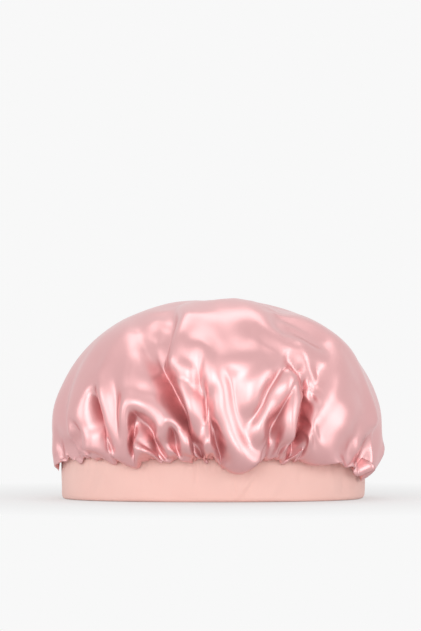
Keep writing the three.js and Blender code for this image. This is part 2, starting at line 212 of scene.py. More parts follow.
give_thickness(elastic, ELASTIC_THICKNESS).vertex_group = "ribs"
elastic.data.materials.append(elastic_braid())
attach(elastic, "band")
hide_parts("band_elastic")


# Stitches in the band. Pink polyester thread: a wide zigzag butts the ends of the elastic, and a narrow one
# closes the jersey strip into a ring. Both are hidden in the pocket at the back.
THREAD_RADIUS = 0.00025
# The two thread tones are a painted highlight on the crests of the turns and painted shade between them.
THREAD_CREST_HIGHLIGHT = (0.82, 0.50, 0.47, 1)
THREAD_GROOVE_SHADE = (0.62, 0.33, 0.31, 1)
STITCH_POINTS = ("Start", "Start Handle", "End Handle", "End")
ZIGZAG_LEG = 0.0026  # rise of one leg of a zigzag
STITCH_LAYER = 0.00115  # from the middle line of the band to the thread
ZIGZAG_FOOT = 0.0033
ELASTIC_JOIN_TOP = 0.0243
ELASTIC_JOIN_HALF_WIDTH = 0.003
BAND_SEAM_TOP = 0.0246
BAND_SEAM_HALF_WIDTH = 0.001


def sewing_thread():
    """Spun polyester: fine turns of fibre across the thread, with a painted highlight on their crests and
    painted shade between them.
    """
    material, tree, shader = new_material("sewing_thread")
    place = add_node(tree, "ShaderNodeTexCoord")
    turns = add_node(
        tree, "ShaderNodeTexWave",
        {"Vector": place.outputs["Object"], "Scale": 900.0, "Distortion": 1.5, "Detail": 1.0},
        bands_direction="DIAGONAL",
    ).outputs["Fac"]
    # the colour follows the raised turns: a painted highlight on their crests and painted shade between them
    set_inputs(tree, shader, {
        "Base Color": two_tones(tree, turns, THREAD_GROOVE_SHADE, THREAD_CREST_HIGHLIGHT),
        "Normal": embossed(tree, turns, strength=0.4, distance=0.0001),
        "Roughness": 0.55, "Sheen Weight": 0.3,
    })
    return material


def stitch_nodes(name, thread, upright):
    """Geometry nodes that sew one bent stitch many times along a path.

    The stitch is a short thread from Start to End, bent by two handles. Its X axis follows the path, turned
    about the upright axis, and each second stitch leans the other way by Zigzag.
    """
    tree = bpy.data.node_groups.new(name, "GeometryNodeTree")
    kinds = {"Path": "Geometry", "Stitches": "Int"} | dict.fromkeys(STITCH_POINTS, "Vector")
    kinds |= {"Thread Radius": "Float", "Zigzag": "Float"}
    for label, kind in kinds.items():
        tree.interface.new_socket(label, in_out="INPUT", socket_type="NodeSocket" + kind)
    tree.interface.new_socket("Sewn", in_out="OUTPUT", socket_type="NodeSocketGeometry")
    given = add_node(tree, "NodeGroupInput").outputs
    line = add_node(tree, "GeometryNodeMeshToCurve", {"Mesh": given["Path"]})
    places = add_node(
        tree, "GeometryNodeCurveToPoints", {"Curve": line.outputs["Curve"], "Count": given["Stitches"]}
    )
    bend = add_node(
        tree, "GeometryNodeCurvePrimitiveBezierSegment",
        {label: given[label] for label in STITCH_POINTS} | {"Resolution": 8},
    )
    ring = add_node(
        tree, "GeometryNodeCurvePrimitiveCircle", {"Resolution": 6, "Radius": given["Thread Radius"]}
    )
    stitch = add_node(
        tree, "GeometryNodeCurveToMesh",
        {"Curve": bend.outputs["Curve"], "Profile Curve": ring.outputs["Curve"], "Fill Caps": True},
    )
    along = add_node(
        tree, "FunctionNodeAlignRotationToVector", {"Vector": places.outputs["Tangent"]},
        axis="X", pivot_axis=upright,
    )
    number = add_node(tree, "GeometryNodeInputIndex")
    odd = add_node(tree, "ShaderNodeMath", {0: number.outputs["Index"], 1: 2.0}, operation="MODULO")
    side = add_node(tree, "ShaderNodeMath", {0: odd.outputs[0], 1: 2.0, 2: -1.0}, operation="MULTIPLY_ADD")
    lean = add_node(tree, "ShaderNodeMath", {0: side.outputs[0], 1: given["Zigzag"]}, operation="MULTIPLY")
    about_y = add_node(tree, "ShaderNodeCombineXYZ", {"Y": lean.outputs[0]})
    turn = add_node(tree, "FunctionNodeEulerToRotation", {"Euler": about_y.outputs["Vector"]})
    leaning = add_node(
        tree, "FunctionNodeRotateRotation",
        {"Rotation": along.outputs["Rotation"], "Rotate By": turn.outputs["Rotation"]},
        rotation_space="LOCAL",
    )
    sewn = add_node(
        tree, "GeometryNodeInstanceOnPoints",
        {
            "Points": places.outputs["Points"],
            "Instance": stitch.outputs["Mesh"],
            "Rotation": leaning.outputs["Rotation"],
        },
    )
    real = add_node(tree, "GeometryNodeRealizeInstances", {"Geometry": sewn.outputs["Instances"]})
    rounded = add_node(tree, "GeometryNodeSetShadeSmooth", {"Geometry": real.outputs["Geometry"]})
    coloured = add_node(
        tree, "GeometryNodeSetMaterial", {"Geometry": rounded.outputs["Geometry"], "Material": thread}
    )
    add_node(tree, "NodeGroupOutput", {"Sewn": coloured.outputs["Geometry"]})
    return tree


def sew(name, tree, path, closed, stitches, bend, zigzag=0.0):
    """A plain mesh object of stitches along a path, from the tree's result. bend holds a stitch's points."""
    count = len(path)
    edges = [(k, (k + 1) % count) for k in range(count if closed else count - 1)]
    line = bpy.data.meshes.new(name + "_path")
    line.from_pydata(path.tolist(), edges, [])
    piece = bpy.data.objects.new(name, line)
    scene.collection.objects.link(piece)
    modifier = piece.modifiers.new("stitches", "NODES")
    modifier.node_group = tree
    sizes = {"Stitches": stitches, "Thread Radius": THREAD_RADIUS, "Zigzag": zigzag}
    for label, value in (sizes | dict(zip(STITCH_POINTS, bend))).items():
        modifier[tree.interface.items_tree[label].identifier] = value
    sewn = bpy.data.meshes.new_from_object(piece.evaluated_get(bpy.context.evaluated_depsgraph_get()))
    piece.modifiers.remove(modifier)
    piece.data = sewn
    bpy.data.meshes.remove(line)
    return piece


def sew_zigzag(name, half_width, outside, top):
    """A zigzag up the back of the band, at a distance outside its middle line."""
    legs = round((top - ZIGZAG_FOOT) / ZIGZAG_LEG)
    rise = (top - ZIGZAG_FOOT) / legs
    half_leg = math.hypot(rise / 2, half_width)
    ends = np.array([ZIGZAG_FOOT + rise / 2, top - rise / 2])
    path = band_points(np.array([BACK, BACK]), outside, ends)
    straight = [(along, 0, 0) for along in (-half_leg, -half_leg / 3, half_leg / 3, half_leg)]
    return sew(name, upward_stitches, path, False, legs, straight, math.atan2(half_width, rise / 2))


thread_finish = sewing_thread()
upward_stitches = stitch_nodes("upward_stitches", thread_finish, upright="Y")
elastic_join = sew_zigzag("elastic_join_zigzag", ELASTIC_JOIN_HALF_WIDTH, -STITCH_LAYER, ELASTIC_JOIN_TOP)
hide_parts("elastic_join_stitches")
band_closing = sew_zigzag("band_closing_zigzag", BAND_SEAM_HALF_WIDTH, STITCH_LAYER, BAND_SEAM_TOP)
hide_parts("band_seam_stitches")
for zigzag in (elastic_join, band_closing):
    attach(zigzag, "band")


# Band. One strip of peach cotton jersey, closed into a ring and folded lengthwise round the elastic.
# Its two raw edges stand together above the seam line, and the lower fold is soft, with no stitching.
JERSEY_THICKNESS = 0.0009
BAND_HEIGHT = 0.0306  # from the lower fold to the seam line
JERSEY_PEACH = (0.93, 0.62, 0.555, 1)
JERSEY_SHADE = (0.89, 0.56, 0.50, 1)
# Half of the folded section: distance outside the middle line, and height, from the fold to the raw edge.
JERSEY_SECTION = [
    (0.0, 0.0006), (0.0011, 0.0008), (0.0018, 0.0017), (0.0021, 0.004), (0.0023, 0.012), (0.0022, 0.02),
    (0.0020, 0.0255), (0.0013, 0.0287), (0.0008, 0.0306), (0.00065, 0.033), (0.00065, 0.0381),
]
# Soft wrinkles on the front ply: foot and head as x and height, depth and half width.
BAND_WRINKLES = [
    ((0.020, 0.001), (0.031, 0.019), 0.0008, 0.0015),
    ((0.016, 0.003), (0.028, 0.019), -0.0009, 0.0018),
    ((0.0165, 0.006), (0.0145, 0.018), 0.0006, 0.0015),
    ((0.037, 0.001), (0.051, 0.017), -0.0007, 0.0028),
    ((0.092, 0.003), (0.094, 0.026), 0.0008, 0.0025),
    ((0.085, 0.006), (0.083, 0.027), -0.0005, 0.0030),
    ((-0.088, 0.004), (-0.080, 0.026), 0.0006, 0.0035),
    ((-0.045, 0.008), (-0.050, 0.028), 0.0005, 0.0030),
    ((-0.012, 0.012), (-0.010, 0.029), 0.0006, 0.0022),
    ((0.060, 0.010), (0.064, 0.028), 0.0005, 0.0025),
]
PUCKERS = 96  # small draws in the jersey where the gathers are sewn to it
PUCKER_DEPTH = 0.0004
PUCKER_FOOT = 0.016  # height where they start


def even_line(points, count):
    """Points spread evenly along a line of points."""
    points = np.asarray(points, float)
    lengths = np.linalg.norm(np.diff(points, axis=0), axis=1)
    reached = np.concatenate([[0], np.cumsum(lengths)])
    wanted = np.linspace(0, reached[-1], count)
    return np.stack([np.interp(wanted, reached, column) for column in points.T], axis=1), reached[-1]


def distance_along(foot, head, x, z):
    """Distance of points from a short straight line, and how far along it they are, from 0 to 1."""
    run, rise = head[0] - foot[0], head[1] - foot[1]
    share = np.clip(((x - foot[0]) * run + (z - foot[1]) * rise) / (run * run + rise * rise), 0, 1)
    return np.hypot(x - foot[0] - share * run, z - foot[1] - share * rise), share


def bell(share):
    """1 in the middle, falling softly to 0 on both sides."""
    return np.exp(-(share ** 2))


def clouded(tree, place, scale, detail, low, high):
    """A colour that drifts slowly between two shades."""
    cloud = add_node(tree, "ShaderNodeTexNoise", {"Vector": place, "Scale": scale, "Detail": detail})
    return two_tones(tree, cloud.outputs["Fac"], low, high)


def jersey_knit():
    """Plain knit: columns of small loops, with a dusty bloom and a slow change of shade."""
    material, tree, shader = new_material("jersey_knit")
    place = add_node(tree, "ShaderNodeTexCoord").outputs["Object"]
    wales = cloth_waves(tree, 0.0008, "X")
    courses = cloth_waves(tree, 0.0006, "Y")
    loops = add_node(tree, "ShaderNodeMath", {0: wales, 1: courses}, operation="MULTIPLY")
    set_inputs(tree, shader, {
        "Base Color": clouded(tree, place, 38.0, 4.0, JERSEY_SHADE, JERSEY_PEACH),
        "Normal": embossed(tree, loops.outputs[0], strength=0.35, distance=0.00025),
        "Roughness": 0.92, "Specular IOR Level": 0.2, "Sheen Weight": 0.25, "Sheen Roughness": 0.6,
    })
    return material


def band_swell(angle, outside, height):
    """How far the outer ply stands out of its plain form: slow waves, wrinkles and puckers."""
    middle = band_points(angle, outside, height)
    x, y = middle[..., 0], middle[..., 1]
    swell = 0.00045 * np.sin(5 * angle + 1.0) + 0.0003 * np.sin(11 * angle + height * 160)
    for foot, head, depth, half in BAND_WRINKLES:
        away, share = distance_along(foot, head, x, height)
        fading = np.sin(math.pi * (0.15 + 0.7 * share)) * (y < 0)
        swell = swell - depth * bell(away / half) * fading
    drawn = np.clip((height - PUCKER_FOOT) / (BAND_HEIGHT - PUCKER_FOOT), 0, 1) ** 2
    uneven = 0.6 + 0.4 * np.sin(7 * angle)
    return swell + PUCKER_DEPTH * drawn * uneven * np.cos(PUCKERS * angle + 2 * np.sin(9 * angle))


jersey_columns = 600
outer_ply, ply_width = even_line(JERSEY_SECTION, 27)
section = np.concatenate([outer_ply[:0:-1] * (-1, 1), outer_ply])
strip_width = 2 * ply_width
jersey_length = 0.575
band_angles = np.linspace(0, FULL_TURN, jersey_columns, endpoint=False)[None, :]
outside, height = section[:, 0:1], section[:, 1:2]
onto_outer = np.clip(outside / 0.0018, 0, 1) * np.clip((BAND_HEIGHT + 0.001 - height) / 0.003, 0, 1)
swollen = outside + onto_outer * band_swell(band_angles, outside, height)
jersey_points = band_points(band_angles, swollen, height)
jersey = cloth_piece(
    "jersey_band", jersey_points,
    *strip_faces(len(section), jersey_columns, jersey_length, strip_width, joined=True),
)
give_thickness(jersey, JERSEY_THICKNESS)
jersey.data.materials.append(jersey_knit())
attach(jersey, "band")
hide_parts("band_jersey")


# Crown. One disc of pink polyester satin, its edge gathered to the length of the band and sewn into the seam.
# Its slack falls in folds that rise from the gathers, and in lobes that hang over the band.
MM = 0.001
CROWN_WIDE = (0.1164, 0.095)  # half sizes where it is widest
CROWN_WIDE_HEIGHT = 0.045
CROWN_TOP = 0.1418
CROWN_SQUARENESS = 2.16
FRONT_SQUARENESS = 2.8  # its front and back stand up more than its sides
CROWN_LEAN = 0.003  # it sits this far to +X of the band
SEAM_OUTSIDE = 0.0030  # from the band's middle line to the gathered edge
SEAM_HEIGHT = 0.0304
SEAM_ALLOWANCE = 0.0075
EDGE_HEIGHT = 0.0381  # top of the raw edges that stand above the seam
RAW_EDGE_FOOT = BAND_HEIGHT + 0.0012  # just above the seam line
RAW_EDGE_OUTSIDE = 0.0018  # from the band's middle line to the standing edge of the satin
SATIN_THICKNESS = 0.0004
SATIN_CELLS = 96  # squares across the disc while it settles, and twice as many in the end
PLEATS = 96
SATIN_PINK = (0.78, 0.435, 0.44, 1)
SATIN_DEEP = (0.73, 0.39, 0.395, 1)

# Lobes between the gathers: direction and half width in degrees, and how far each hangs down, in mm.
LEAST_DROP = 0.003
LOBES = [
    (346, 14, 19), (16, 15, 9), (48, 13, 8), (76, 14, 11), (104, 13, 8), (131, 14, 10), (158, 13, 8),
    (186, 11, 14), (201, 6, 4), (216, 9, 5), (231, 7, 7), (243, 8, 5), (281, 11, 14), (325, 13, 11),
]
# Folds round the sides and back: direction at the seam and at their head, half width, all in degrees,
# then the height of the head and the depth, in mm.
FOLDS = [
    (6, 9, 6, 85, 11), (34, 30, 7, 105, 13), (62, 57, 7, 95, 12), (90, 93, 7, 110, 13), (117, 121, 7, 90, 11),
    (144, 140, 7, 100, 13), (172, 175, 6, 85, 11), (21, 22, 4, 62, 6), (48, 50, 4, 66, 6), (77, 75, 4, 70, 7),
    (104, 102, 4, 60, 6), (131, 133, 4, 68, 7), (158, 157, 4, 62, 6),
]
# Tight gathers along the front of the seam: direction and half width in degrees, and share of the slack.
BUNCHES = [
    (196, 3, 0.7), (207, 3, 0.8), (225, 3, 0.8), (237, 4, 0.8), (247, 4, 0.8), (256, 3, 1.0), (262, 4, 1.5),
    (269, 4, 1.5), (291, 3, 1.0), (298, 3, 1.4), (305, 4, 1.6), (341, 4, 1.2),
]
# Ridges and valleys across the front, in mm: how soft the line is, then points of x, height and depth.
# A ridge has a depth below 0. The satin runs smoothly from each line to the next.
FRONT_FOLDS = [
    # the long valley from the top to the middle of the seam, with the dart's ridge at its head
    (1.5, [(-40, 118, 8), (-40, 108, 12), (-37, 98, 15), (-31, 87, 18), (-27, 77, 19), (-24, 69, 18),
           (-20, 59, 16), (-16, 49, 13), (-14, 39, 10), (-13, 29, 6)]),
    (4, [(-48, 134, 0), (-48, 122, 4), (-44, 110, 8)]),
    (1.5, [(-28, 139, 0), (-27, 128, 6), (-31, 116, 11), (-36, 104, 14)]),
    (2.5, [(-20, 140, 0), (-19, 128, -4), (-24, 114, -6), (-28, 101, -5)]),
    # the big lobe: its ridge, the fold and rim to the left of it, and the valley to the right
    (4, [(-26, 112, -4), (-12, 103, -5), (0, 94, -6), (5, 81, -6), (7, 66, -6), (11, 50, -6), (18, 36, -6),
         (23, 23, -5)]),
    (3, [(-27, 98, -3), (-18, 94, -4), (-11, 86, -3)]),
    (2, [(-10, 86, 2), (-4, 74, 5), (-2, 60, 6), (2, 45, 6), (6, 31, 4)]),
    (2.5, [(-22, 84, -2), (-14, 64, -3), (-5, 44, -3), (1, 30, -2)]),
    (6, [(11, 91, 0), (14, 77, 2), (17, 61, 3), (23, 48, 4), (30, 39, 5), (36, 27, 5)]),
    # the leaf right of the middle: its top edge, streaks, rim and the shaded folds between them
    (4, [(1, 94, -5), (19, 99, -4), (32, 102, -3), (46, 104, -2)]),
    (5, [(36, 94, -4), (27, 81, -4), (26, 69, -3)]),
    (3, [(50, 94, 1), (38, 77, 2), (30, 60, 3)]),
    (3, [(55, 88, -4), (42, 69, -3), (32, 54, -3), (32, 44, -3)]),
    (2, [(52, 73, 2), (46, 60, 5), (43, 45, 6)]),
    (2.5, [(53, 91, -5), (60, 89, -6), (61, 77, -6), (57, 65, -5), (55, 55, -4), (53, 43, -3)]),
    # the valley behind the leaf, from its notch to the seam
    (2, [(52, 101, 4), (58, 95, 9), (63, 87, 14), (65, 76, 15), (65, 63, 15), (63, 52, 13), (59, 43, 10),
           (63, 30, 5)]),
    # the long ridges at the upper right and the shallow hollows between them
    (3, [(64, 132, -3), (77, 124, -5), (87, 115, -6), (91, 103, -6), (87, 89, -6), (82, 77, -5), (76, 63, -5),
         (71, 50, -5), (71, 39, -5)]),
    (3.5, [(20, 140, -3), (29, 129, -4), (37, 119, -5), (48, 111, -5), (61, 107, -5), (75, 100, -3)]),
    (5, [(46, 123, 1), (59, 117, 2), (76, 110, 1)]),
    (6, [(31, 117, 1), (40, 109, 2), (50, 106, 3)]),
    (4, [(73, 92, 3), (76, 84, 4), (71, 74, 6)]),
    # the lobes at the right end
    (7, [(92, 63, -6), (80, 47, -7), (73, 31, -6)]),
    (2, [(101, 48, 2), (97, 39, 7), (94, 29, 7)]),
    (3, [(112, 60, -4), (105, 45, -3), (104, 36, -3)]),
    (2, [(113, 47, 3), (109, 37, 5), (101, 25, 5)]),
    # the hairpin on the left: its rim and the valley inside
    (2, [(-90, 45, -4), (-89, 66, -6), (-87, 78, -6), (-83, 84, -6), (-78, 80, -5), (-73, 62, -4),
         (-69, 47, -4), (-66, 34, -3)]),
    (3, [(-83, 77, 7), (-81, 69, 12), (-78, 60, 13), (-75, 49, 13), (-71, 38, 11), (-69, 30, 6)]),
    # the two arches left of the middle, the hollows under them and the small lobe that hangs in the first
    (2, [(-66, 34, -3), (-63, 48, -4), (-60, 63, -5), (-56, 70, -5), (-48, 67, -5), (-41, 62, -4),
         (-34, 57, -3)]),
    (3, [(-52, 61, 8), (-46, 57, 9), (-40, 52, 8)]),
    (2.5, [(-54, 60, 7), (-56, 50, 9), (-59, 37, 7)]),
    (3, [(-48, 45, 0), (-48, 31, -2)]),
    (1.5, [(-42, 50, 8), (-40, 42, 9), (-40, 31, 6)]),
    (2, [(-35, 47, -2), (-33, 55, -4), (-28, 58, -5), (-22, 53, -5), (-19, 43, -5), (-17, 29, -3)]),
    (1.5, [(-27, 52, 4), (-26, 44, 8), (-25, 33, 6)]),
    # the left end with its puckers
    (4, [(-103, 81, -2), (-101, 66, -4), (-99, 48, -5)]),
    (1.2, [(-93, 52, 2), (-92, 44, 9), (-91, 31, 7)]),
    (1.5, [(-88, 48, -5), (-89, 36, -5)]),
    (1.5, [(-103, 36, 6), (-96, 36, 7)]),
    (2, [(-109, 45, 3), (-108, 37, 6), (-105, 28, 5)]),
    (3, [(-112, 47, -3), (-111, 34, -2)]),
    # the wide left panel, which bulges a little
    (9, [(-79, 119, -2), (-74, 103, -3), (-66, 86, -4)]),
    (9, [(-62, 121, -2), (-57, 103, -3), (-50, 86, -4)]),
    # tight pleats at the seam on both sides of the big lobe
    (1, [(37, 40, 3), (39, 27, 6)]),
    (1, [(46, 42, 3), (48, 28, 6)]),
    (1, [(55, 39, 3), (56, 28, 6)]),
    (1, [(-8, 38, 5), (-5, 27, 6)]),
]
FOLD_REACH = 0.030  # further than this from every line, the satin keeps to the plain dome
FOLD_PINCH = 0.002  # how far the walls of a valley are drawn together
SETTLED_SHARE = 0.7  # share of the settled wrinkles that is kept
FINE_PLEAT, MIDDLE_PLEAT, BROAD_PLEAT = 0.0022, 0.003, 0.004  # heights of the pleats
FINE_REACH, MIDDLE_REACH, BROAD_REACH = 0.05, 0.12, 0.26  # how far up they go, as shares of the disc's radius
SEWN_REACH = 0.75  # share of the radius over which the cloth turns to where its edge is sewn
FOLD_START = 0.05  # share of the radius over which the folds grow from the seam
# Distances over which folds grow: forwards from the middle, up from the seam, and up from the widest place.
FRONT_EASE, SIDE_EASE, TOP_EASE = 0.035, 0.02, 0.03
CROWN_ROOM = 0.0043  # least distance from the band's middle line, by the seam
CLEAR_TOP = EDGE_HEIGHT + 0.014  # above this height the cloth needs no such distance
CLEAR_FADE = 0.012  # this far below it, the cloth keeps the whole distance
CLEAR_SOFTNESS = 0.002  # rounds the step where the cloth starts to give way


def turn_between(angle, other):
    """The turn from one direction to another, from minus half a turn to half a turn."""
    return (angle - other + math.pi) % FULL_TURN - math.pi


def round_disc(cells):
    """A square grid of cloth eased into a disc of radius 1: points, quads and the points of its edge."""
    line = np.linspace(-1, 1, cells + 1)
    u, v = (grid.ravel() for grid in np.meshgrid(line, line, indexing="ij"))
    wide = np.abs(u) >= np.abs(v)
    reach = np.where(wide, u, v)
    other = np.divide(np.where(wide, v, u), reach, out=np.zeros_like(reach), where=reach != 0)
    angle = np.where(wide, math.pi / 4 * other, math.pi / 2 - math.pi / 4 * other)
    points = np.stack([reach * np.cos(angle), reach * np.sin(angle)], axis=1)
    row, column = (grid.ravel() for grid in np.meshgrid(np.arange(cells), np.arange(cells), indexing="ij"))
    first = row * (cells + 1) + column
    faces = np.stack([first, first + cells + 1, first + cells + 2, first + 1], axis=1)
    return points, faces, np.maximum(np.abs(u), np.abs(v)) > 1 - 1e-9


def lobe_drop(angle):
    """How far the satin hangs below the seam in each direction."""
    drop = np.full_like(angle, LEAST_DROP)
    for at, half, hang in LOBES:
        away = np.abs(turn_between(angle, math.radians(at))) / math.radians(half)
        share = (1 - np.minimum(away, 1) ** 2) ** 0.75
        drop = np.maximum(drop, LEAST_DROP + (hang * MM - LEAST_DROP) * share)
    return drop


DIRECTIONS = 720
PATH_STEPS = 240


def dome_paths(seam_outside, seam_height, wide, top, hanging):
    """Paths from the seam to the top in each direction, in even steps: distance from the middle, and height.

    wide holds the half sizes at the widest place, and hanging is how far the cloth sags below the seam.
    """
    angle = np.arange(DIRECTIONS) * FULL_TURN / DIRECTIONS
    seam = band_points(angle, seam_outside, 0)
    seam_radius = np.hypot(seam[:, 0], seam[:, 1])
    wide_radius = oval_radius(angle, *wide, CROWN_SQUARENESS)
    under = np.linspace(0, 1, 80)[:, None]
    lift = np.linspace(0, math.pi / 2, 240)[1:, None]
    squareness = CROWN_SQUARENESS + (FRONT_SQUARENESS - CROWN_SQUARENESS) * np.sin(angle) ** 2
    up, across = np.sin(lift) ** (2 / squareness), np.cos(lift).clip(0) ** (2 / squareness)
    hang = hanging(angle) * np.sin(math.pi * under)
    under_height = seam_height + (CROWN_WIDE_HEIGHT - seam_height) * under ** 2 - hang
    over_height = CROWN_WIDE_HEIGHT + (top - CROWN_WIDE_HEIGHT) * up
    spread = np.sin(under * math.pi / 2)
    radii = np.vstack([seam_radius + (wide_radius - seam_radius) * spread, wide_radius * across])
    heights = np.vstack([under_height, over_height])
    paths = [even_line(path, PATH_STEPS)[0] for path in np.stack([radii, heights], axis=2).swapaxes(0, 1)]
    return np.array(paths)


def path_length(paths):
    """Mean way from the seam to the top, which is the radius of the disc that is laid along the paths."""
    return float(np.linalg.norm(np.diff(paths, axis=1), axis=2).sum(axis=1).mean())


def on_paths(paths, angle, share):
    """Values of the paths between their directions and steps."""
    step = np.clip(share * (PATH_STEPS - 1), 0, PATH_STEPS - 1.001)
    place = (angle % FULL_TURN) / FULL_TURN * DIRECTIONS
    low, left = step.astype(int), place.astype(int) % DIRECTIONS
    right = (left + 1) % DIRECTIONS
    up, over = (step - low)[:, None], (place - np.floor(place))[:, None]
    at_left = paths[left, low] * (1 - up) + paths[left, low + 1] * up
    at_right = paths[right, low] * (1 - up) + paths[right, low + 1] * up
    return at_left * (1 - over) + at_right * over


def gathered_direction(disc_angle):
    """Where round the band each direction of the disc is sewn: more cloth goes into the folds and bunches."""
    fine = np.linspace(0, FULL_TURN, 3601)
    cloth = np.ones_like(fine)
    for at, _, half, _, depth in FOLDS:
        away = turn_between(fine, math.radians(at)) / math.radians(0.8 * half)
        cloth += 0.16 * depth * bell(away)
    for at, half, share in BUNCHES:
        away = turn_between(fine, math.radians(at)) / math.radians(half)
        cloth += 2.2 * share * bell(away)
    used = np.concatenate([[0], np.cumsum((cloth[1:] + cloth[:-1]) / 2)])
    return np.interp(disc_angle, used * FULL_TURN / used[-1], fine)


def side_fold_depth(angle, height):
    """Depth of the folds round the sides and back, in metres."""
    depth = np.zeros_like(height)
    for at, head_at, half, head, deep in FOLDS:
        rise = np.clip((height - SEAM_HEIGHT) / (head * MM - SEAM_HEIGHT), 0, 1)
        direction = math.radians(at) + math.radians(head_at - at) * rise
        away = turn_between(angle, direction) / math.radians(half)
        depth = np.maximum(depth, deep * MM * (1 - rise ** 2) * bell(away))
    return depth


def front_fold_depth(x, z):
    """Depth of the ridges and valleys, in metres, at places in the front view: nearer lines count more."""
    total, weights = np.zeros_like(x), np.full_like(x, FOLD_REACH ** -3)
    for softness, points in FRONT_FOLDS:
        nearest, depth = np.full_like(x, 1.0), np.zeros_like(x)
        for foot, head in zip(points, points[1:]):
            away, share = distance_along(np.array(foot) * MM, np.array(head) * MM, x, z)
            closer = away < nearest
            depth = np.where(closer, (foot[2] + share * (head[2] - foot[2])) * MM, depth)
            nearest = np.where(closer, away, nearest)
        weight = (nearest ** 2 + (softness * MM) ** 2) ** -1.5
        total += weight * depth
        weights += weight
    return total / weights


def valley_slope(x, z):
    """How steeply the front falls into its valleys, towards +X and upwards."""
    step = 0.8 * MM
    across = front_fold_depth(x + step, z) - front_fold_depth(x - step, z)
    upwards = front_fold_depth(x, z + step) - front_fold_depth(x, z - step)
    return across / (2 * step), upwards / (2 * step)


def smooth_step(share):
    """Eases from 0 to 1."""
    share = np.clip(share, 0, 1)
    return share * share * (3 - 2 * share)


def seam_pleats(disc_angle, from_edge):
    """Pleats that the gathering makes: fine at the seam, joining into wider ones above it."""
    fine = FINE_PLEAT * np.cos(PLEATS * disc_angle) * bell(from_edge / FINE_REACH)
    uneven = 1.1 * np.sin(5 * disc_angle) + 0.8 * np.sin(11 * disc_angle)
    middle = MIDDLE_PLEAT * np.cos(PLEATS / 2 * disc_angle + uneven) * bell(from_edge / MIDDLE_REACH)
    drift = 1.3 * np.sin(3 * disc_angle + 1) + 0.7 * np.sin(7 * disc_angle)
    broad = BROAD_PLEAT * np.cos(PLEATS / 4 * disc_angle + drift) * bell(from_edge / BROAD_REACH)
    return fine + (middle + broad) * np.clip(from_edge / FINE_REACH, 0, 1)


def gathered(disc, paths, fold_strength, pleat_strength):
    """Points of a disc of cloth gathered along the paths, with folds and pleats at a share of their depth."""
    disc_angle = np.arctan2(disc[:, 1], disc[:, 0]) % FULL_TURN
    from_edge = np.clip(1 - np.hypot(disc[:, 0], disc[:, 1]), 0, 1)
    sewn = np.clip(1 - from_edge / SEWN_REACH, 0, 1)
    angle = disc_angle + turn_between(gathered_direction(disc_angle), disc_angle) * sewn
    radius, height = on_paths(paths, angle, from_edge).T
    run, rise = on_paths(np.gradient(paths, axis=1), angle, from_edge).T
    length = np.hypot(run, rise) + 1e-9
    x, y = CROWN_LEAN + radius * np.cos(angle), radius * np.sin(angle)
    off_seam = np.clip(from_edge / FOLD_START, 0, 1) * fold_strength
    on_front = smooth_step(-y / FRONT_EASE) * off_seam
    front = front_fold_depth(x, height) * on_front
    side = side_fold_depth(angle, height) * off_seam * smooth_step((height - SEAM_HEIGHT) / SIDE_EASE)
    pleat = seam_pleats(disc_angle, from_edge) * pleat_strength
    slope_x, slope_z = valley_slope(x, height)
    pinch = FOLD_PINCH * on_front / np.sqrt(1 + slope_x ** 2 + slope_z ** 2)
    on_top = smooth_step((height - CROWN_WIDE_HEIGHT) / TOP_EASE)
    inwards = front * rise / length
    radius = radius - side - inwards / 2 + pleat
    x = CROWN_LEAN + radius * np.cos(angle) + pinch * slope_x
    y = radius * np.sin(angle) + inwards / 2
    z = height + pleat / 2 + (front * run / length + pinch * slope_z) * on_top
    return np.stack([x, y, z], axis=1)


